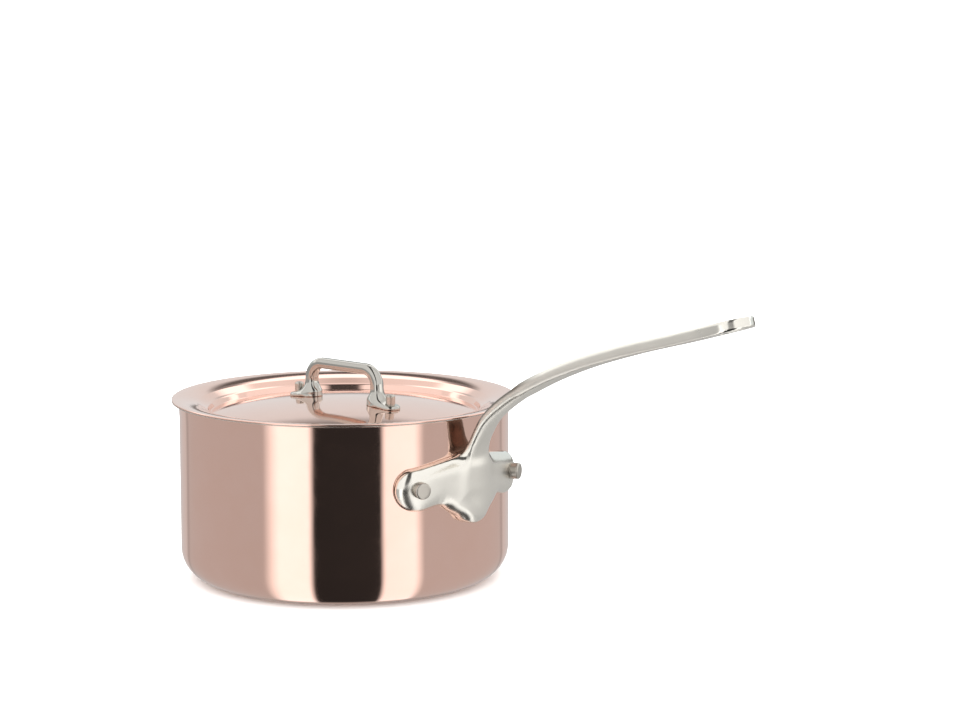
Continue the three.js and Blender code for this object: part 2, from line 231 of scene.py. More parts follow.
def ring_coordinates(tree, pitch_mm):
    """Object coordinates as (distance from the axis, height), scaled so that one unit is a pitch."""
    place = add_node(tree, "ShaderNodeTexCoord")
    parts = add_node(tree, "ShaderNodeSeparateXYZ", None, {"Vector": place.outputs["Object"]})
    flat = add_node(tree, "ShaderNodeCombineXYZ", None, {"X": parts.outputs["X"], "Y": parts.outputs["Y"]})
    radius = add_node(tree, "ShaderNodeVectorMath", {"operation": "LENGTH"}, {0: flat.outputs["Vector"]})
    both = add_node(tree, "ShaderNodeCombineXYZ", None, {
        "X": radius.outputs["Value"], "Y": parts.outputs["Z"]})
    scaled = add_node(tree, "ShaderNodeVectorMath", {"operation": "SCALE"}, {
        0: both.outputs["Vector"], "Scale": 1 / (pitch_mm * MM)})
    return place.outputs["Object"], scaled.outputs["Vector"]


def new_metal(name, colour, roughness):
    """A bare metal: fully metallic, with the default index of refraction."""
    material = bpy.data.materials.new(name)
    material.use_nodes = True
    tree = material.node_tree
    tree.nodes.clear()
    shader = add_node(tree, "ShaderNodeBsdfPrincipled", None, {
        "Base Color": tuple(colour), "Metallic": 1.0, "Roughness": roughness})
    add_node(tree, "ShaderNodeOutputMaterial", None, {"Surface": shader.outputs["BSDF"]})
    return material, tree, shader


def tool_marks(tree, shader, marks, rough, relief):
    """Lets marks vary the roughness and raise the surface, by their own range and relief."""
    varied = add_node(tree, "ShaderNodeMapRange", None, {"Value": marks.outputs["Fac"], **rough})
    tree.links.new(varied.outputs["Result"], shader.inputs["Roughness"])
    raised = add_node(tree, "ShaderNodeBump", None, {"Height": marks.outputs["Fac"], **relief})
    tree.links.new(raised.outputs["Normal"], shader.inputs["Normal"])


def mirror_polished_copper(finishes):
    """Copper sheet spun to shape and buffed: mirror bright, with faint buffing rings and slow waves."""
    material, tree, shader = new_metal("mirror_polished_copper", finishes.copper, finishes.copper_roughness)
    place, rings = ring_coordinates(tree, 0.35)
    # Sheet metal keeps a slow waviness after spinning, about a finger's width from crest to crest.
    waves = add_node(tree, "ShaderNodeTexNoise", None, {
        "Vector": place, "Scale": 1 / (38 * MM), "Detail": 1.0, "Roughness": 0.4})
    # Buffing leaves rings finer than can be seen; they are drawn at about a third of a millimetre.
    buffing = add_node(tree, "ShaderNodeTexNoise", None, {
        "Vector": rings, "Scale": 1.0, "Detail": 3.0, "Roughness": 0.6})
    haze = add_node(tree, "ShaderNodeTexNoise", None, {
        "Vector": place, "Scale": 1 / (14 * MM), "Detail": 4.0, "Roughness": 0.55})
    colour = add_node(tree, "ShaderNodeMix", {"data_type": "RGBA"}, {
        "Factor": haze.outputs["Fac"], "A": tuple(finishes.copper), "B": tuple(finishes.aged_copper)})
    tree.links.new(colour.outputs["Result"], shader.inputs["Base Color"])
    rough = add_node(tree, "ShaderNodeMapRange", None, {
        "Value": haze.outputs["Fac"], "From Min": 0.35, "From Max": 0.7,
        "To Min": finishes.copper_roughness * 0.8, "To Max": finishes.copper_roughness * 1.35})
    tree.links.new(rough.outputs["Result"], shader.inputs["Roughness"])
    slow = add_node(tree, "ShaderNodeBump", None, {
        "Height": waves.outputs["Fac"], "Strength": 0.35, "Distance": 0.00022})
    fine = add_node(tree, "ShaderNodeBump", None, {
        "Height": buffing.outputs["Fac"], "Strength": 0.06, "Distance": 0.00002,
        "Normal": slow.outputs["Normal"]})
    tree.links.new(fine.outputs["Normal"], shader.inputs["Normal"])
    return material


def satin_lining_steel(finishes):
    """Rolled stainless lining: satin grey with close circular brushing."""
    material, tree, shader = new_metal("satin_rolled_stainless", finishes.lining, 0.28)
    rings = ring_coordinates(tree, 0.4)[1]
    brushing = add_node(tree, "ShaderNodeTexNoise", None, {
        "Vector": rings, "Scale": 1.0, "Detail": 4.0, "Roughness": 0.7})
    tool_marks(tree, shader, brushing, {"From Min": 0.3, "From Max": 0.7, "To Min": 0.22, "To Max": 0.36},
               {"Strength": 0.25, "Distance": 0.00003})
    return material


def cast_stainless(finishes):
    """Investment-cast stainless: tumbled to a satin on the blade, buffed bright on plate and eye, with a dark
    painted reflection of the shaded copper wall in the base colour behind the neck.
    """
    material, tree, shader = new_metal("cast_stainless_satin", finishes.casting, finishes.casting_roughness)
    place = add_node(tree, "ShaderNodeTexCoord").outputs["Object"]
    polish = add_node(tree, "ShaderNodeAttribute", {"attribute_name": "polish"})
    # Where polish falls below zero, behind the neck, the base colour turns to a painted reflection of the
    # shaded copper wall.
    painted_reflection_share = add_node(tree, "ShaderNodeMapRange", None, {
        "Value": polish.outputs["Fac"], "From Min": -1.0, "From Max": 0.0, "To Min": 1.0, "To Max": 0.0})
    colour = add_node(tree, "ShaderNodeMix", {"data_type": "RGBA"}, {
        "Factor": painted_reflection_share.outputs["Result"], "A": tuple(finishes.casting), "B": tuple(finishes.neck_wall_reflection_paint)})
    tree.links.new(colour.outputs["Result"], shader.inputs["Base Color"])
    # Casting skin keeps a soft unevenness of a few millimetres; tumbling grit is drawn at 0.4 mm.
    skin = add_node(tree, "ShaderNodeTexNoise", None, {
        "Vector": place, "Scale": 1 / (7 * MM), "Detail": 2.0, "Roughness": 0.5})
    grit = add_node(tree, "ShaderNodeTexNoise", None, {
        "Vector": place, "Scale": 1 / (0.4 * MM), "Detail": 2.0, "Roughness": 0.6})
    rough = add_node(tree, "ShaderNodeMapRange", None, {
        "Value": polish.outputs["Fac"], "To Min": finishes.casting_roughness, "To Max": 0.13})
    mottle = add_node(tree, "ShaderNodeMapRange", None, {
        "Value": skin.outputs["Fac"], "To Min": 0.8, "To Max": 1.2})
    uneven = add_node(tree, "ShaderNodeMath", {"operation": "MULTIPLY"}, {
        0: rough.outputs["Result"], 1: mottle.outputs["Result"]})
    tree.links.new(uneven.outputs["Value"], shader.inputs["Roughness"])
    slow = add_node(tree, "ShaderNodeBump", None, {
        "Height": skin.outputs["Fac"], "Strength": 0.3, "Distance": 0.0001})
    fine = add_node(tree, "ShaderNodeBump", None, {
        "Height": grit.outputs["Fac"], "Strength": 0.12, "Distance": 0.00002,
        "Normal": slow.outputs["Normal"]})
    tree.links.new(fine.outputs["Normal"], shader.inputs["Normal"])
    return material


def buffed_loop_steel(finishes):
    """Cast stainless buffed bright by hand, so its reflections bend a little."""
    material, tree, shader = new_metal("cast_stainless_buffed", finishes.loop, 0.12)
    place = add_node(tree, "ShaderNodeTexCoord").outputs["Object"]
    skin = add_node(tree, "ShaderNodeTexNoise", None, {
        "Vector": place, "Scale": 1 / (4 * MM), "Detail": 2.0, "Roughness": 0.5})
    tool_marks(tree, shader, skin, {"To Min": 0.07, "To Max": 0.13}, {"Strength": 0.3, "Distance": 0.00008})
    return material


def headed_rivet_steel(finishes):
    """Stainless rivet set under a press: dull flanks with light drawing marks along the shank."""
    material, tree, shader = new_metal("set_stainless_rivet", finishes.rivet, 0.3)
    place = add_node(tree, "ShaderNodeTexCoord").outputs["Object"]
    marks = add_node(tree, "ShaderNodeTexNoise", None, {
        "Vector": place, "Scale": 1 / (0.9 * MM), "Detail": 3.0, "Roughness": 0.6})
    tool_marks(tree, shader, marks, {"To Min": 0.22, "To Max": 0.42}, {"Strength": 0.3, "Distance": 0.00005})
    return material


# ---------------------------------------------------------------- turned shells and rivets

def rounded_outline(corners, steps=8, guard=0.35):
    """A polyline through (radius, height, rounding) corners, each corner replaced by an arc.

    A guard point beside each arc keeps its bend out of the flat next to it.
    """
    points = []
    for i, (r, z, rounding) in enumerate(corners):
        here = np.array([r, z])
        if rounding <= 0 or i in (0, len(corners) - 1):
            points.append(here)
            continue
        back = np.array(corners[i - 1][:2]) - here
        ahead = np.array(corners[i + 1][:2]) - here
        room = 0.48 * min(np.linalg.norm(back), np.linalg.norm(ahead))
        back, ahead = back / np.linalg.norm(back), ahead / np.linalg.norm(ahead)
        half = math.acos(max(-1.0, min(1.0, float(back @ ahead)))) / 2
        reach = min(rounding / math.tan(half), 2 * room)
        bow = reach * math.tan(half)
        centre = here + (back + ahead) / np.linalg.norm(back + ahead) * (bow / math.sin(half))
        first, last = here + back * reach - centre, here + ahead * reach - centre
        sweep = math.pi - 2 * half
        sense = math.copysign(1.0, float(first[0] * last[1] - first[1] * last[0]))
        points.append(here + back * (reach + guard * min(1.0, rounding)))
        for step in range(steps + 1):
            turn = sense * sweep * step / steps
            cos, sin = math.cos(turn), math.sin(turn)
            turned = np.array([first[0] * cos - first[1] * sin, first[0] * sin + first[1] * cos])
            points.append(centre + turned)
        points.append(here + ahead * (reach + guard * min(1.0, rounding)))
    return points


def smooth_curve(points, closed, steps):
    """A centripetal Catmull-Rom curve through points, sampled evenly between each pair."""
    points = [np.array(p, float) for p in points]
    count = len(points)
    if closed:
        padded = [points[-1], *points, points[0], points[1]]
    else:
        padded = [2 * points[0] - points[1], *points, 2 * points[-1] - points[-2]]
    made = []
    for i in range(1, count + (1 if closed else 0)):
        p0, p1, p2, p3 = padded[i - 1:i + 3]
        d0, d1, d2 = (max(np.linalg.norm(b - a), 1e-9) ** 0.5 for a, b in ((p0, p1), (p1, p2), (p2, p3)))
        leave = ((p1 - p0) / d0 - (p2 - p0) / (d0 + d1) + (p2 - p1) / d1) * d1
        arrive = ((p2 - p1) / d1 - (p3 - p1) / (d1 + d2) + (p3 - p2) / d2) * d1
        for step in range(steps):
            t = step / steps
            made.append((2 * t ** 3 - 3 * t ** 2 + 1) * p1 + (t ** 3 - 2 * t ** 2 + t) * leave
                        + (3 * t ** 2 - 2 * t ** 3) * p2 + (t ** 3 - t ** 2) * arrive)
    return made if closed else made + [points[-1]]


def offset_outline(points, distance):
    """Moves an open outline to the right of its direction of travel."""
    moved = []
    for i, point in enumerate(points):
        along = points[min(i + 1, len(points) - 1)] - points[max(i - 1, 0)]
        along = along / np.linalg.norm(along)
        moved.append(np.array([max(point[0] + along[1] * distance, 0.0), point[1] - along[0] * distance]))
    return moved


def new_shape_tree(name, inputs, output):
    """A Geometry Nodes tree with one output and an input for each (name, kind, default) row."""
    tree = bpy.data.node_groups.new(name, "GeometryNodeTree")
    for label, kind, default in inputs:
        socket = tree.interface.new_socket(label, in_out="INPUT", socket_type="NodeSocket" + kind)
        if default is not None:
            socket.default_value = default
    tree.interface.new_socket(output, in_out="OUTPUT", socket_type="NodeSocketGeometry")
    return tree


def turned_shell_tree():
    """Geometry Nodes: turns an outline, drawn as a polyline in the XZ plane, about the Z axis."""
    tree = new_shape_tree("turned_shell", [
        ("Outline", "Geometry", None), ("Segments", "Int", 256), ("Metal", "Material", None)], "Shell")
    given = add_node(tree, "NodeGroupInput")
    corners = add_node(tree, "GeometryNodeAttributeDomainSize", {"component": "MESH"}, {
        "Geometry": given.outputs["Outline"]})
    columns = add_node(tree, "FunctionNodeIntegerMath", {"operation": "ADD"}, {
        0: given.outputs["Segments"], 1: 1})
    grid = add_node(tree, "GeometryNodeMeshGrid", None, {
        "Vertices X": corners.outputs["Point Count"], "Vertices Y": columns.outputs[0]})
    index = add_node(tree, "GeometryNodeInputIndex")
    corner = add_node(tree, "FunctionNodeIntegerMath", {"operation": "DIVIDE_FLOOR"}, {
        0: index.outputs[0], 1: columns.outputs[0]})
    step = add_node(tree, "FunctionNodeIntegerMath", {"operation": "MODULO"}, {
        0: index.outputs[0], 1: columns.outputs[0]})
    share = add_node(tree, "ShaderNodeMath", {"operation": "DIVIDE"}, {
        0: step.outputs[0], 1: given.outputs["Segments"]})
    angle = add_node(tree, "ShaderNodeMath", {"operation": "MULTIPLY"}, {
        0: share.outputs[0], 1: 2 * math.pi})
    place = add_node(tree, "GeometryNodeInputPosition")
    sampled = add_node(tree, "GeometryNodeSampleIndex", {"data_type": "FLOAT_VECTOR", "domain": "POINT"}, {
        "Geometry": given.outputs["Outline"], "Value": place.outputs[0], "Index": corner.outputs[0]})
    spun = add_node(tree, "ShaderNodeVectorRotate", {"rotation_type": "Z_AXIS"}, {
        "Vector": sampled.outputs[0], "Angle": angle.outputs[0]})
    skin = add_node(tree, "GeometryNodeSetPosition", None, {
        "Geometry": grid.outputs["Mesh"], "Position": spun.outputs[0]})
    closed = add_node(tree, "GeometryNodeMergeByDistance", None, {
        "Geometry": skin.outputs[0], "Distance": 0.002 * MM})
    smooth = add_node(tree, "GeometryNodeSetShadeSmooth", None, {"Geometry": closed.outputs[0]})
    real = add_node(tree, "GeometryNodeRealizeInstances", None, {"Geometry": smooth.outputs[0]})
    metal = add_node(tree, "GeometryNodeSetMaterial", None, {
        "Geometry": real.outputs[0], "Material": given.outputs["Metal"]})
    add_node(tree, "NodeGroupOutput", None, {"Shell": metal.outputs[0]})
    return tree


def rivet_row_tree(turned):
    """Geometry Nodes: turns a rivet from its outline and sets copies of it at even steps and turns."""
    steps = [(label, "Vector", None) for label in ("First Place", "Place Step", "First Turn", "Turn Step")]
    tree = new_shape_tree("rivet_row", [
        ("Outline", "Geometry", None), ("Segments", "Int", 64), ("Metal", "Material", None),
        ("Count", "Int", 2), *steps], "Rivets")
    given = add_node(tree, "NodeGroupInput")
    rivet = add_node(tree, "GeometryNodeGroup", {"node_tree": turned}, {
        "Outline": given.outputs["Outline"], "Segments": given.outputs["Segments"],
        "Metal": given.outputs["Metal"]})
    index = add_node(tree, "GeometryNodeInputIndex")
    shift = add_node(tree, "ShaderNodeVectorMath", {"operation": "MULTIPLY_ADD"}, {
        0: given.outputs["Place Step"], 1: index.outputs[0], 2: given.outputs["First Place"]})
    turn = add_node(tree, "ShaderNodeVectorMath", {"operation": "MULTIPLY_ADD"}, {
        0: given.outputs["Turn Step"], 1: index.outputs[0], 2: given.outputs["First Turn"]})
    spin = add_node(tree, "FunctionNodeEulerToRotation", None, {0: turn.outputs[0]})
    points = add_node(tree, "GeometryNodePoints", None, {
        "Count": given.outputs["Count"], "Position": shift.outputs[0]})
    copies = add_node(tree, "GeometryNodeInstanceOnPoints", None, {
        "Points": points.outputs[0], "Instance": rivet.outputs["Shell"], "Rotation": spin.outputs[0]})
    real = add_node(tree, "GeometryNodeRealizeInstances", None, {"Geometry": copies.outputs[0]})
    metal = add_node(tree, "GeometryNodeSetMaterial", None, {
        "Geometry": real.outputs[0], "Material": given.outputs["Metal"]})
    add_node(tree, "NodeGroupOutput", None, {"Rivets": metal.outputs[0]})
    return tree


def made_by_nodes(name, outline, tree, values):
    """Runs a Geometry Nodes tree on an outline and returns the result as a plain mesh object."""
    drawn = bpy.data.meshes.new(name + "_outline")
    drawn.from_pydata([(r * MM, 0.0, z * MM) for r, z in outline],
                      [(i, i + 1) for i in range(len(outline) - 1)], [])
    worker = bpy.data.objects.new(name + "_outline", drawn)
    bpy.context.collection.objects.link(worker)
    modifier = worker.modifiers.new("shape", "NODES")
    modifier.node_group = tree
    for item in tree.interface.items_tree:
        if item.in_out == "INPUT" and item.name in values:
            modifier[item.identifier] = values[item.name]
    evaluated = worker.evaluated_get(bpy.context.evaluated_depsgraph_get())
    mesh = bpy.data.meshes.new_from_object(evaluated)
    bpy.data.objects.remove(worker)
    return faced_outwards(name, mesh)


def faced_outwards(name, mesh):
    """Wraps a closed mesh in an object, turned right side out and smooth."""
    mesh.name = name
    places = np.empty(len(mesh.vertices) * 3)
    mesh.vertices.foreach_get("co", places)
    places = places.reshape(-1, 3)
    mesh.calc_loop_triangles()
    corners = np.empty(len(mesh.loop_triangles) * 3, int)
    mesh.loop_triangles.foreach_get("vertices", corners)
    a, b, c = (places[corners[i::3]] for i in range(3))
    if np.einsum("ij,ij->", a, np.cross(b, c)) < 0:
        mesh.flip_normals()
    mesh.polygons.foreach_set("use_smooth", [True] * len(mesh.polygons))
    piece = bpy.data.objects.new(name, mesh)
    bpy.context.collection.objects.link(piece)
    return piece


def stand_for(piece, body, slot, *nodes):
    """Ties a finished piece to its body and hides the solids it stands for; the finish slot is not used."""
    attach(piece, body)
    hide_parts(*nodes)


# ---------------------------------------------------------------- castings

def soft_union(a, b, blend):
    """Joins two fields with a fillet about as wide as the blend."""
    return np.minimum(a, b) - np.maximum(1 - np.abs(a - b) / blend, 0) ** 3 * blend / 6


def rounded_pair(a, b, rounding):
    """Where two fields overlap, with the edge between them rounded."""
    a, b = a + rounding, b + rounding
    return np.minimum(np.maximum(a, b), 0) + np.hypot(np.maximum(a, 0), np.maximum(b, 0)) - rounding


class BarPath:
    """A bar's centre line in the XZ plane, which gives each point its place along and off the line."""

    def __init__(self, points, spacing, run_on=4.0):
        points = np.array(points)
        first = points[0] - (points[1] - points[0]) / np.linalg.norm(points[1] - points[0]) * run_on
        last = points[-1] + (points[-1] - points[-2]) / np.linalg.norm(points[-1] - points[-2]) * run_on
        points = np.vstack([first, points, last])
        lengths = np.concatenate([[0], np.cumsum(np.linalg.norm(np.diff(points, axis=0), axis=1))])
        self.at = np.arange(0, lengths[-1], spacing)
        self.place = np.stack([np.interp(self.at, lengths, points[:, i]) for i in (0, 1)], 1)
        along = np.gradient(self.place, axis=0)
        self.along = along / np.linalg.norm(along, axis=1)[:, None]
        self.at = self.at - run_on
        self.length = lengths[-1] - 2 * run_on

    def read(self, x, z):
        """Distance along the line and distance off it, for points of the XZ plane."""
        asked = np.stack([x.ravel(), z.ravel()], 1)
        along, off = np.empty(len(asked)), np.empty(len(asked))
        for start in range(0, len(asked), 4096):
            part = asked[start:start + 4096]
            nearest = ((part[:, None, :] - self.place[None]) ** 2).sum(-1).argmin(1)
            gap = part - self.place[nearest]
            way = self.along[nearest]
            along[start:start + 4096] = self.at[nearest] + (gap * way).sum(1)
            off[start:start + 4096] = gap[:, 1] * way[:, 0] - gap[:, 0] * way[:, 1]
        return along.reshape(x.shape), off.reshape(x.shape)


def outline_distance(across, up, corners):
    """Distance to a closed outline in its plane, less than zero inside it."""
    starts = np.array(corners)
    ends = np.roll(starts, -1, axis=0)
    nearest = np.full(across.shape, 1e9)
    inside = np.zeros(across.shape, bool)
    for (ax, ay), (bx, by) in zip(starts, ends):
        px, py, ex, ey = across - ax, up - ay, bx - ax, by - ay
        share = np.clip((px * ex + py * ey) / (ex * ex + ey * ey), 0, 1)
        nearest = np.minimum(nearest, (px - ex * share) ** 2 + (py - ey * share) ** 2)
        crosses = ((ay > up) != (by > up)) & (px < ex * py / (ey if ey else 1e-12))
        inside ^= crosses
    return np.where(inside, -1, 1) * np.sqrt(nearest)


def plate_outline():
    """The plate's three-lobed outline as it lies on the wall, [across, up] from between the rivets."""
    lobe_wide, lobe_high, lobe_drop = 11.2, 10.4, 0.9
    tongue_radius, tongue_drop = 12.5, 7.7
    lobe = [(RIVET_ANGLE * PLATE_FRONT + lobe_wide * math.cos(a), lobe_high * math.sin(a) - lobe_drop)
            for a in np.radians(np.linspace(95, -95, 7))]
    half = [(8, 13.4), *lobe, (20.5, -9.4), (14.2, -12.8)]
    half += [(tongue_radius * math.cos(a), -tongue_drop + tongue_radius * math.sin(a))
             for a in np.radians((-38, -64))]
    mirrored = [(-x, y) for x, y in reversed(half)]
    return smooth_curve([(0, 13.7), *half, (0, -20.2), *mirrored], True, 5)


def handle_field(sizes):
    """The long handle as a field in millimetres: under zero inside the metal."""
    outline = plate_outline()
    shares = [(0.013, -0.03), (0.022, 0.088), (0.0395, 0.176), (0.062, 0.263), (0.0925, 0.348),
              (0.145, 0.432), (0.258, 0.559), (0.416, 0.686), (0.599, 0.795), (0.793, 0.891), (1, 1)]
    line = [(PAN_RADIUS + out * HANDLE_REACH, RIVET_HEIGHT + up * HANDLE_RISE) for out, up in shares]
    path = BarPath(smooth_curve(line, False, 24), 0.5)
    eye_at = path.length - EYE_WIDTH / 2
    rounding = sizes.plate_round / MM
    hole_run, hole_radius = (HOLE_LENGTH - HOLE_WIDTH) / 2, HOLE_WIDTH / 2
    squareness = 2.5
    crown_reach, swell_reach = 9, 13

    def field(points):
        x, y, z = points[..., 0], points[..., 1], points[..., 2]
        along, off = path.read(x[:, :1, :], z[:, :1, :])
        share = np.clip(along / path.length, 0, 1)
        half_width = np.interp(share, [0, 0.05, 0.12, 0.2, 0.4, 0.65, 0.93, 1],
                               [7.5, 7, 6.5, 6.5, 7.75, 8.5, 11.5, 11.5])
        half_depth = np.interp(share, [0, 0.05, 0.12, 0.25, 0.5, 1], [2.1, 2.2, 2.5, 3, 2.8, 2.5])
        past = np.maximum(along - eye_at, 0)
        plan = np.where(along > eye_at, np.hypot(past, y) - EYE_WIDTH / 2, np.abs(y) - half_width)
        plan = np.maximum(plan, -along)
        edge = half_depth * np.interp(share, [0, 0.25, 0.45, 0.7, 1], [0.97, 0.95, 0.75, 0.5, 0.28])
        flat_sided = rounded_pair(plan, np.abs(off) - half_depth, edge)
        reach = np.abs(y / half_width) ** squareness + np.abs(off / half_depth) ** squareness
        oval = (reach ** (1 / squareness) - 1) * half_depth
        squared = np.clip((share - 0.3) / 0.25, 0, 1)
        blade = np.maximum(flat_sided, oval - 3 * squared)
        slot = np.hypot(np.maximum(np.abs(along - eye_at) - hole_run, 0), y) - hole_radius
        blade = -soft_union(-blade, slot, 1.5)

        plate = np.full(blade.shape, 30.0)
        radius = np.hypot(x, y)
        near = (radius < PLATE_FRONT + 12) & (np.abs(z - RIVET_HEIGHT) < 30) & (x > 0)
        across = np.arctan2(y[near], x[near]) * PLATE_FRONT
        flat = outline_distance(across, z[near] - RIVET_HEIGHT, outline)
        crown = PLATE_CROWN * (1 - np.clip(-flat / crown_reach, 0, 1)) ** 2
        swell = PLATE_SWELL * np.exp(-(across / swell_reach) ** 2)
        out = radius[near] - (PLATE_FRONT - crown + swell)
        steep = 0.66 + 0.34 * np.clip((RIVET_HEIGHT - 4 - z[near]) / 6, 0, 1)
        plate[near] = rounded_pair(flat * steep, out, rounding)
        whole = soft_union(blade, plate, sizes.neck_fillet / MM)
        return np.maximum(whole, PLATE_BACK - radius)

    def polish(points):
        """How far buffing goes, most at the plate's edge and the eye; behind the neck it falls below zero to
        mark where a dark painted reflection of the shaded copper wall goes.
        """
        x, y, z = points[..., 0], points[..., 1], points[..., 2]
        along, off = path.read(x[:, :1, :], z[:, :1, :])
        share = np.clip(along / path.length, 0, 1)
        bright = np.interp(share, [0, 0.1, 0.2, 0.86, 0.95, 1], [0.25, 0.1, 0, 0, 0.8, 0.9])
        flat = outline_distance(np.arctan2(y, x) * PLATE_FRONT, z - RIVET_HEIGHT, outline)
        edge = np.clip(1.4 + flat / 5, 0, 1) * (np.hypot(x, y) < PLATE_FRONT + 1)
        edge = edge * np.clip((z - RIVET_HEIGHT + 6) / 6, 0, 1)
        # Painted reflection: the back of the neck, facing the wall, is marked for a dark base colour that
        # stands in for the shaded copper wall it mirrors.
        behind = np.clip(off / 1.2, 0, 1) * np.clip((0.42 - share) / 0.1, 0, 1) * (np.abs(y) < 9)
        behind = behind * np.clip((z - RIVET_HEIGHT - 12) / 2, 0, 1)
        return np.maximum(bright, edge) * (1 - behind) - behind

    return field, polish


def dome_height(radius):
    """Height of the lid's domed disc at a distance from the axis."""
    return DOME_CENTRE + np.sqrt(DOME_RADIUS ** 2 - radius ** 2)


def loop_field(sizes):
    """The lid's loop and its two feet as a field in millimetres."""
    half, corner, deep = LOOP_LEG_SPAN / 2, LOOP_BEND, LOOP_BAR_DEPTH
    heel, heel_radius, toe_growth = 20.3, 3.0, 1.8
    toe_thickness, heel_rise = 1.9, 1.6
    squareness = 2.6
    foot_z = float(dome_height(half)) + 0.3
    corner_z = LOOP_BOX[1].z / MM - deep / 2 - corner
    left = [(-half + corner + corner * math.cos(a), corner_z + corner * math.sin(a))
            for a in np.linspace(math.pi, math.pi / 2, 12)]
    legs = [(-half - 0.9, foot_z + 0.6), (-half - 0.2, foot_z + 5)]
    line = [*legs, *left, *[(-x, z) for x, z in reversed(left)], *[(-x, z) for x, z in reversed(legs)]]
    path = BarPath(line, 0.2, 0.5)

    def field(points):
        x, y, z = points[..., 0], points[..., 1], points[..., 2]
        along, off = path.read(x[:, :1, :], z[:, :1, :])
        low, leg = np.clip((foot_z + 8 - z) / 8, 0, 1), np.clip((corner_z + 6 - z) / 12, 0, 1)
        flare = 1.0 + 0.25 * low ** 3 + 0.1 * leg ** 2 * (3 - 2 * leg)
        wide, thick = LOOP_BAR_WIDTH / 2, deep / 2
        reach = np.abs(y / (wide * flare)) ** squareness + np.abs(off / (thick * flare)) ** squareness
        bar = (reach ** (1 / squareness) - 1) * thick
        ends = np.maximum(-along, along - path.length)
        bar = np.maximum(bar, ends)
        run = LID_RIVET_ACROSS - heel
        share = np.clip((np.abs(x) - heel) / run, 0, 1)
        flat = np.hypot(np.abs(x) - (heel + share * run), y) - (heel_radius + toe_growth * share)
        top = z - (dome_height(np.hypot(x, y)) + toe_thickness + heel_rise * (1 - share))
        foot = rounded_pair(flat, top, 1.2)
        whole = soft_union(bar, foot, sizes.loop_fillet / MM)
        return np.maximum(whole, dome_height(np.hypot(x, y)) + 0.05 - z)

    return field


def cast_mesh(name, field, low, high, pitch, polish=None):
    """Skins a field, the same on both sides of the XZ plane, with even quads set exactly on its surface."""
    sides = [np.arange(a - 1.5 * pitch, b + 2.5 * pitch, pitch) for a, b in zip(low, high)]
    sides[1] = np.arange(0, high[1] + 2.5 * pitch, pitch)
    half = field(np.stack(np.meshgrid(*sides, indexing="ij"), -1))
    value = np.concatenate([half[:, :0:-1, :], half], axis=1)
    start = np.array([sides[0][0], -sides[1][-1], sides[2][0]])
    inside = value < 0

    def corner(i, j, k, array):
        nx, ny, nz = array.shape
        return array[i:nx - 1 + i, j:ny - 1 + j, k:nz - 1 + k]

    corners = [(i, j, k) for i in (0, 1) for j in (0, 1) for k in (0, 1)]
    count = sum(corner(*c, inside).astype(np.int8) for c in corners)
    cells = np.argwhere((count > 0) & (count < 8))
    total, hits = np.zeros((len(cells), 3)), np.zeros(len(cells))
    at = tuple(cells.T)
    for a in corners:
        for axis in range(3):
            if a[axis]:
                continue
            b = tuple(1 if n == axis else v for n, v in enumerate(a))
            low_value, high_value = corner(*a, value)[at], corner(*b, value)[at]
            crossed = (low_value < 0) != (high_value < 0)
            share = np.where(crossed, low_value / np.where(crossed, low_value - high_value, 1), 0)
            meet = np.array(a, float)[None] + share[:, None] * (np.arange(3) == axis)
            total += meet * crossed[:, None]
            hits += crossed
    points = start + (cells + total / hits[:, None]) * pitch
    for _ in range(3):
        here = field(points[:, None, None, :])[:, 0, 0]
        slope = np.stack([field((points + 0.02 * np.eye(3)[n])[:, None, None, :])[:, 0, 0] - here
                          for n in range(3)], 1) / 0.02
        move = -here[:, None] * slope / np.maximum((slope ** 2).sum(1), 0.05)[:, None]
        points += np.clip(move, -0.5 * pitch, 0.5 * pitch)

    number = -np.ones(tuple(s - 1 for s in value.shape), int)
    number[at] = np.arange(len(cells))
    faces = []
    for axis in range(3):
        first = [slice(1, -1)] * 3
        first[axis] = slice(0, -1)
        second = [slice(1, -1)] * 3
        second[axis] = slice(1, None)
        inner, outer = inside[tuple(first)], inside[tuple(second)]
        u, v = [n for n in range(3) if n != axis]
        for sense, wanted in ((1, inner & ~outer), (-1, ~inner & outer)):
            where = np.argwhere(wanted)
            where[:, u] += 1
            where[:, v] += 1
            ring = []
            for du, dv in ((1, 1), (0, 1), (0, 0), (1, 0)):
                cell = where.copy()
                cell[:, u] -= du
                cell[:, v] -= dv
                ring.append(number[tuple(cell.T)])
            faces.append(np.stack(ring, 1)[:, ::-1 if (sense > 0) == (axis == 1) else 1])
    mesh = bpy.data.meshes.new(name)
    mesh.from_pydata((points * MM).tolist(), [], np.concatenate(faces).tolist())
    mesh.validate()
    if polish:
        amount = mesh.attributes.new("polish", "FLOAT", "POINT")
        amount.data.foreach_set("value", polish(points[:, None, None, :])[:, 0, 0])
    return faced_outwards(name, mesh)


# ---------------------------------------------------------------- operators

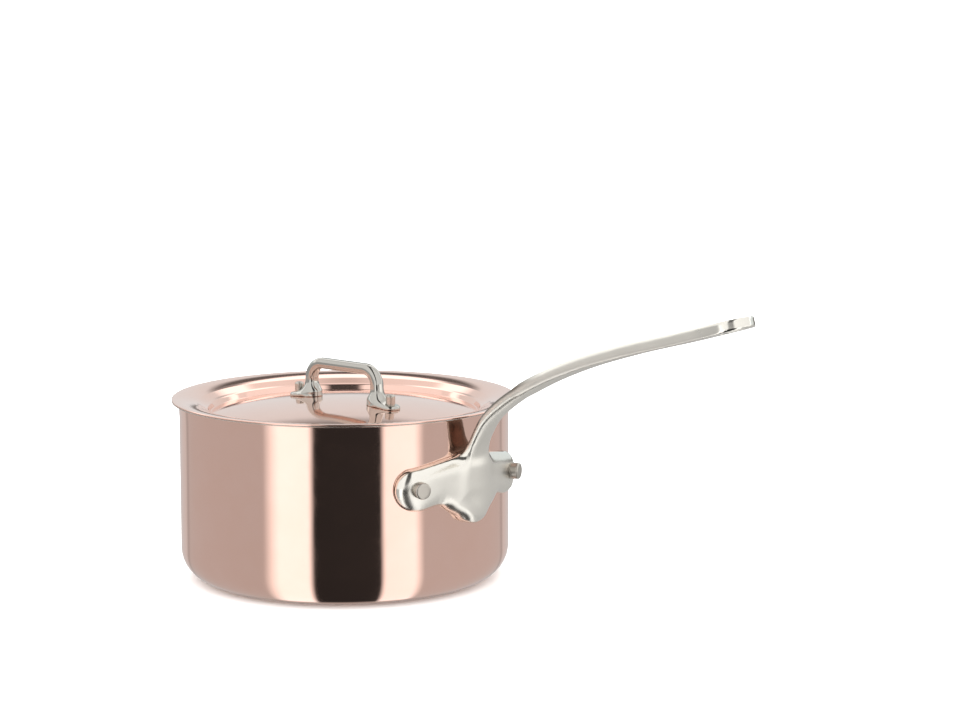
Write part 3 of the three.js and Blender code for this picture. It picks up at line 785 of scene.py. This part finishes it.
class SAUCEPAN_OT_studio(bpy.types.Operator):
    """Lays the pale floor, sets the soft studio light and stands the camera"""

    bl_idname = "saucepan.studio"
    bl_label = "Set up studio"

    def execute(self, context):
        studio = context.scene.saucepan_studio
        camera = bpy.data.objects.new("camera", bpy.data.cameras.new("camera"))
        camera.data.lens = studio.lens
        camera.data.sensor_width = 36
        camera.data.clip_end = 50
        camera.location = studio.camera_place
        camera.rotation_euler = (math.pi / 2 - studio.camera_pitch, 0, studio.camera_heading)
        context.collection.objects.link(camera)
        context.scene.camera = camera
        context.scene.view_settings.view_transform = "Standard"

        paper = bpy.data.materials.new("pale_paper")
        paper.use_nodes = True
        tree = paper.node_tree
        tree.nodes.clear()
        fibre = add_node(tree, "ShaderNodeTexNoise", None, {"Scale": 40.0, "Detail": 4.0})
        tone = add_node(tree, "ShaderNodeMix", {"data_type": "RGBA"}, {
            "Factor": fibre.outputs["Fac"], "A": linear("#F4F4F3"), "B": linear("#F6F5F4")})
        shade = add_node(tree, "ShaderNodeBsdfDiffuse", None, {"Color": tone.outputs["Result"]})
        add_node(tree, "ShaderNodeOutputMaterial", None, {"Surface": shade.outputs["BSDF"]})
        plane = bpy.data.meshes.new("floor")
        plane.from_pydata([(-9, -9, -0.0003), (9, -9, -0.0003), (9, 9, -0.0003), (-9, 9, -0.0003)], [],
                          [(0, 1, 2, 3)])
        plane.materials.append(paper)
        floor = bpy.data.objects.new("floor", plane)
        context.collection.objects.link(floor)
        floor.visible_glossy = False
        self.light(context, studio)
        return {"FINISHED"}

    def light(self, context, studio):
        """A white room for the floor, and a lit studio of panels and gaps for the metal to mirror."""
        world = bpy.data.worlds.new("studio")
        context.scene.world = world
        world.use_nodes = True
        tree = world.node_tree
        tree.nodes.clear()
        way = add_node(tree, "ShaderNodeTexCoord")
        facing = add_node(tree, "ShaderNodeVectorRotate", {"rotation_type": "Z_AXIS"}, {
            "Vector": way.outputs["Generated"], "Angle": math.radians(45.6)})
        parts = add_node(tree, "ShaderNodeSeparateXYZ", None, {"Vector": facing.outputs[0]})

        def angle(operation, first, second=None):
            """An angle of the looking direction, from -180 to 180 degrees, as a share from 0 to 1."""
            sockets = {0: first} if second is None else {0: first, 1: second}
            turned = add_node(tree, "ShaderNodeMath", {"operation": operation}, sockets)
            return add_node(tree, "ShaderNodeMapRange", None, {
                "Value": turned.outputs[0], "From Min": -math.pi, "From Max": math.pi}).outputs[0]

        def bands(along, stops):
            """Panels and gaps along an angle, from (degrees, brightness) stops."""
            node = add_node(tree, "ShaderNodeValToRGB", None, {"Fac": along})
            fill_ramp(node, [((degrees + 180) / 360, value) for degrees, value in stops])
            return node.outputs["Color"]

        def blend(share, below, above):
            """One set of panels giving way to another."""
            return add_node(tree, "ShaderNodeMix", {"data_type": "RGBA"}, {
                "Factor": share, "A": below, "B": above}).outputs["Result"]

        def product(first, second):
            """Light only where two sets of panels both shine."""
            return add_node(tree, "ShaderNodeMix", {"data_type": "RGBA", "blend_type": "MULTIPLY"}, {
                "Factor": 1.0, "A": first, "B": second}).outputs["Result"]

        # Panels hang so that a wall curving under at its foot still shows them as upright stripes.
        leaned = add_node(tree, "ShaderNodeVectorMath", {"operation": "ADD"}, {
            0: facing.outputs[0], 1: (0.987, 0.0, 0.16)})
        half_way = add_node(tree, "ShaderNodeVectorMath", {"operation": "NORMALIZE"}, {0: leaned.outputs[0]})
        halves = add_node(tree, "ShaderNodeSeparateXYZ", None, {"Vector": half_way.outputs[0]})
        turn = add_node(tree, "ShaderNodeMath", {"operation": "ARCTAN2"}, {
            0: halves.outputs["Y"], 1: halves.outputs["X"]})
        heading = add_node(tree, "ShaderNodeMapRange", None, {
            "Value": turn.outputs[0], "From Min": -math.pi / 2, "From Max": math.pi / 2}).outputs[0]
        lean = angle("ARCSINE", halves.outputs["Z"])
        sideways = angle("ARCSINE", parts.outputs["Y"])
        over = angle("ARCTAN2", parts.outputs["Z"], parts.outputs["X"])
        height = angle("ARCSINE", parts.outputs["Z"])
        # Two long soft boxes stand at the front, with a dark gap between them that closes in overhead.
        boxes = [(-58, 0.255), (-50, 0.62), (-46, 0.735), (-25, 0.725), (-21, 0.012), (24, 0.014),
                 (27.5, 0.66), (49, 0.69), (56, 0.27)]
        round_about = bands(heading, [(-180, 0.31), (-145, 0.31), (-141, 0.2), (-137, 0.265), *boxes,
                                       (137, 0.275), (141, 0.2), (145, 0.31), (180, 0.31)])
        striped = bands(sideways, [(-90, 0.5), (-30, 0.54), (-15, 0.56), (-10, 0.03),
                                   (10, 0.03), (15, 0.56), (30, 0.54), (90, 0.5)])
        dimmed = bands(sideways, [(-90, 0.5), (-15, 0.56), (-10, 0.2), (10, 0.2), (15, 0.56), (90, 0.5)])
        overhead = blend(bands(over, [(12, 0.0), (22, 1.0)]), dimmed, striped)
        # Behind the object: a plain wall, a bright card above it and a dark gap between the two.
        wall = (0.385, 0.412, 0.42, 1.0)
        closed = bands(over, [(112, 0.45), (130, 0.47), (134, 0.8), (144, 0.8), (152, wall), (180, wall)])
        parted = bands(over, [(112, 0.45), (130, 0.47), (134, 0.85), (143, 0.85), (147, 0.06), (154, 0.06),
                              (159, wall), (180, wall)])
        behind = blend(bands(sideways, [(-13, 0.0), (-6, 1.0), (6, 1.0), (13, 0.0)]), closed, parted)
        above = blend(bands(over, [(108, 0.0), (114, 1.0)]), overhead, behind)
        upper = bands(height, [(2.0, 0.0), (4.0, 1.0)])
        # At eye level: a dark far horizon, a white card at one side, and a dim floor under the base.
        dark_far = (0.05, 0.042, 0.036, 1.0)
        white_card = (0.85, 0.85, 0.84, 1.0)
        dim_floor = (0.2, 0.19, 0.18, 1.0)
        horizon = product(bands(heading, [(-140, 1.0), (-120, 0.0), (120, 0.0), (140, 1.0)]),
                          bands(height, [(-4, 0.0), (-2, 1.0)]))
        card = product(bands(heading, [(58, 0.0), (70, 1.0), (90, 1.0), (106, 0.0)]),
                       bands(height, [(-6.5, 0.0), (-4.5, 1.0)]))
        deep = bands(lean, [(-64, 1.0), (-56, 0.0)])
        level = blend(card, blend(horizon, round_about, dark_far), white_card)
        mirrored = blend(upper, blend(deep, level, dim_floor), above)
        ray = add_node(tree, "ShaderNodeLightPath")
        panels_light = add_node(tree, "ShaderNodeBackground", None, {"Color": mirrored, "Strength": 2.0})
        even_light = add_node(tree, "ShaderNodeBackground", None, {
            "Color": (1.0, 1.0, 1.0, 1.0), "Strength": studio.fill_light})
        both = add_node(tree, "ShaderNodeMixShader", None, {
            0: ray.outputs["Is Glossy Ray"], 1: even_light.outputs[0], 2: panels_light.outputs[0]})
        add_node(tree, "ShaderNodeOutputWorld", None, {"Surface": both.outputs[0]})


class SAUCEPAN_OT_pan(bpy.types.Operator):
    """Spins the pan's copper body and the steel lining bonded inside it"""

    bl_idname = "saucepan.pan"
    bl_label = "Spin pan"

    def execute(self, context):
        sizes, finishes = context.scene.saucepan_sizes, context.scene.saucepan_finishes
        tree = turned_shell_tree()
        rim = sizes.rim_round / MM

        def face(depth, rounding):
            radius = PAN_RADIUS - depth
            return [(0, depth, 0), (radius, depth, BASE_CORNER - depth),
                    (radius, PAN_HEIGHT - LIP_FLARE_HEIGHT, 40), (radius + LIP_FLARE, PAN_HEIGHT, rounding)]

        layers = [
            ("copper_body", "pan_shell", "polished_copper", mirror_polished_copper(finishes),
             0, COPPER_WALL - BOND_GAP),
            ("steel_lining", "pan_lining", "lining_steel", satin_lining_steel(finishes),
             COPPER_WALL, COPPER_WALL + LINING_WALL),
        ]
        for name, node, slot, metal, outer, inner in layers:
            edge = min(rim, (inner - outer) * 0.45)
            corners = face(outer, edge) + face(inner, edge)[::-1]
            piece = made_by_nodes(name, rounded_outline(corners, 10), tree, {
                "Segments": sizes.turn_segments, "Metal": metal})
            stand_for(piece, "pan", slot, node)
        return {"FINISHED"}


class SAUCEPAN_OT_handle(bpy.types.Operator):
    """Casts the long handle, its plate and its hanging eye in one piece"""

    bl_idname = "saucepan.handle"
    bl_label = "Cast long handle"

    def execute(self, context):
        sizes, finishes = context.scene.saucepan_sizes, context.scene.saucepan_finishes
        low, high = (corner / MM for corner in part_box("long_handle"))
        field, polish = handle_field(sizes)
        pitch = sizes.handle_pitch / MM * 1
        piece = cast_mesh("long_handle_casting", field, low, high, pitch, polish)
        piece.data.materials.append(cast_stainless(finishes))
        stand_for(piece, "pan", "handle_steel", "long_handle")
        return {"FINISHED"}


class SAUCEPAN_OT_handle_rivets(bpy.types.Operator):
    """Sets the two rivets that hold the long handle to the wall"""

    bl_idname = "saucepan.handle_rivets"
    bl_label = "Set handle rivets"

    def execute(self, context):
        finishes = context.scene.saucepan_finishes
        head, shank, stub = 6.5, 3.7, 4
        seat = math.sqrt(INNER_RADIUS ** 2 - head ** 2) - 0.1
        end = PLATE_FRONT + 4.4
        corners = [(0, seat - 2.4, 0), (3.4, seat - 2.3, 3), (5.6, seat - 1.3, 2), (head, seat, 0.2),
                   (shank, seat + 0.05, 0), (shank, PLATE_FRONT + 0.1, 0.05),
                   (stub, PLATE_FRONT + 0.2, 0.05), (stub, end - 0.2, 0.9), (2.6, end, 1.2), (0, end + 0.05, 0)]
        tree = rivet_row_tree(bpy.data.node_groups["turned_shell"])
        piece = made_by_nodes("handle_rivets", rounded_outline(corners, 6, 0.1), tree, {
            "Segments": 64, "Metal": headed_rivet_steel(finishes), "Count": 2,
            "First Place": (0, 0, RIVET_HEIGHT * MM), "Place Step": (0, 0, 0),
            "First Turn": (0, math.pi / 2, -RIVET_ANGLE), "Turn Step": (0, 0, 2 * RIVET_ANGLE)})
        stand_for(piece, "pan", "rivet_steel", "handle_rivet_left", "handle_rivet_right")
        return {"FINISHED"}


class SAUCEPAN_OT_lid(bpy.types.Operator):
    """Spins the lid's copper top and the steel sheet bonded under it"""

    bl_idname = "saucepan.lid"
    bl_label = "Spin lid"

    def execute(self, context):
        sizes = context.scene.saucepan_sizes
        rim = sizes.rim_round / MM
        dome = [(r, float(dome_height(r))) for r in np.linspace(0, DISC_RADIUS - 1.2, 40)]
        flange = [(r, FLANGE_TOP - (FLANGE_RADIUS - r) ** 2 / (2 * FLANGE_ROLL), 0)
                  for r in np.linspace(RECESS_RADIUS + 1, FLANGE_RADIUS, 16)]
        # The wall leaves the disc in a steep step, then flares up to the flange.
        wall = [(*dome[-1], 0), (DISC_RADIUS - 0.1, DISC_EDGE, 0.5),
                (DISC_RADIUS + 1.1, DISC_EDGE + 2.6, 1.0), (DISC_RADIUS + 2.5, DISC_EDGE + 3.2, 1.2),
                (RECESS_RADIUS - 1, DISC_EDGE + 5.35, 2.2), *flange]
        upper = [np.array(p) for p in dome[:-1]] + rounded_outline(wall, 10)
        layers = [
            ("lid_copper", "lid_shell", "polished_copper", bpy.data.materials["mirror_polished_copper"],
             0, LID_COPPER - BOND_GAP),
            ("lid_underside", "lid_lining", "lining_steel", bpy.data.materials["satin_rolled_stainless"],
             LID_COPPER, LID_COPPER + LID_LINING),
        ]
        for name, node, slot, metal, top, bottom in layers:
            edge = min(rim, (bottom - top) * 0.45)
            above = offset_outline(upper, top + edge)
            below = offset_outline(upper, bottom - edge)
            out = above[-1] - above[-2]
            out = out / np.linalg.norm(out)
            across = np.array([-out[1], out[0]])
            middle = (above[-1] + below[-1]) / 2 - out * edge
            reach = np.linalg.norm(above[-1] - below[-1]) / 2
            quarters = ((1, np.linspace(math.pi / 2, 0, 7)), (-1, np.linspace(0, -math.pi / 2, 7)))
            nose = [middle + across * (reach * side) + edge * (out * math.cos(a) + across * math.sin(a))
                    for side, turns in quarters for a in turns]
            outline = offset_outline(upper, top)[:-1] + nose + offset_outline(upper, bottom)[:-1][::-1]
            piece = made_by_nodes(name, outline, bpy.data.node_groups["turned_shell"], {
                "Segments": sizes.turn_segments, "Metal": metal})
            stand_for(piece, "lid", slot, node)
        return {"FINISHED"}


class SAUCEPAN_OT_loop(bpy.types.Operator):
    """Casts the lid's loop with its two feet"""

    bl_idname = "saucepan.loop"
    bl_label = "Cast lid loop"

    def execute(self, context):
        sizes, finishes = context.scene.saucepan_sizes, context.scene.saucepan_finishes
        low, high = (corner / MM for corner in LOOP_BOX)
        pitch = sizes.loop_pitch / MM * 1
        piece = cast_mesh("loop_casting", loop_field(sizes), low, high, pitch)
        piece.data.materials.append(buffed_loop_steel(finishes))
        stand_for(piece, "lid", "loop_steel", "lid_loop")
        return {"FINISHED"}


class SAUCEPAN_OT_lid_rivets(bpy.types.Operator):
    """Sets the two rivets that hold the loop to the lid"""

    bl_idname = "saucepan.lid_rivets"
    bl_label = "Set lid rivets"

    def execute(self, context):
        low, high = (corner.z / MM for corner in LID_RIVET_BOX)
        foot_top = float(dome_height(LID_RIVET_ACROSS)) + 2.1
        head, shank, stub = 4, 2.1, 2.3
        corners = [(0, low, 0), (2.4, low + 0.1, 2), (head, low + 1.1, 0.6), (head, low + 1.6, 0.1),
                   (shank, low + 1.65, 0), (shank, foot_top + 0.1, 0.05), (stub, foot_top + 0.2, 0.05),
                   (stub, high - 0.7, 0.7), (1.3, high - 0.1, 0.8), (0, high, 0)]
        tree = bpy.data.node_groups["rivet_row"]
        piece = made_by_nodes("lid_rivets", rounded_outline(corners, 6, 0.1), tree, {
            "Segments": 48, "Metal": bpy.data.materials["set_stainless_rivet"], "Count": 2,
            "First Place": (-LID_RIVET_ACROSS * MM, 0, 0), "Place Step": (2 * LID_RIVET_ACROSS * MM, 0, 0),
            "First Turn": (0, 0, 0), "Turn Step": (0, 0, 0)})
        stand_for(piece, "lid", "rivet_steel", "lid_rivet_rear", "lid_rivet_front")
        return {"FINISHED"}


OPERATORS = [SAUCEPAN_OT_studio, SAUCEPAN_OT_pan, SAUCEPAN_OT_handle, SAUCEPAN_OT_handle_rivets,
             SAUCEPAN_OT_lid, SAUCEPAN_OT_loop, SAUCEPAN_OT_lid_rivets]


class SAUCEPAN_PT_panel(bpy.types.Panel):
    """Lists the steps that build the saucepan"""

    bl_label = "Saucepan"
    bl_space_type = "VIEW_3D"
    bl_region_type = "UI"
    bl_category = "Saucepan"

    def draw(self, context):
        for group in ("saucepan_sizes", "saucepan_finishes", "saucepan_studio"):
            settings = getattr(context.scene, group)
            box = self.layout.box()
            for name in settings.bl_rna.properties.keys():
                if name not in ("rna_type", "name"):
                    box.prop(settings, name)
        for operator in OPERATORS:
            self.layout.operator(operator.bl_idname)


GROUPS = {"saucepan_sizes": SaucepanSizes, "saucepan_finishes": SaucepanFinishes,
          "saucepan_studio": SaucepanStudio}


def register():
    for kind in [*GROUPS.values(), *OPERATORS, SAUCEPAN_PT_panel]:
        bpy.utils.register_class(kind)
    for name, group in GROUPS.items():
        setattr(bpy.types.Scene, name, bpy.props.PointerProperty(type=group))


def unregister():
    for name in GROUPS:
        delattr(bpy.types.Scene, name)
    for kind in reversed([*GROUPS.values(), *OPERATORS, SAUCEPAN_PT_panel]):
        bpy.utils.unregister_class(kind)


def main():
    register()
    bpy.ops.saucepan.studio()
    bpy.ops.saucepan.pan()
    bpy.ops.saucepan.handle()
    bpy.ops.saucepan.handle_rivets()
    bpy.ops.saucepan.lid()
    bpy.ops.saucepan.loop()
    bpy.ops.saucepan.lid_rivets()


if __name__ == "__main__":
    main()
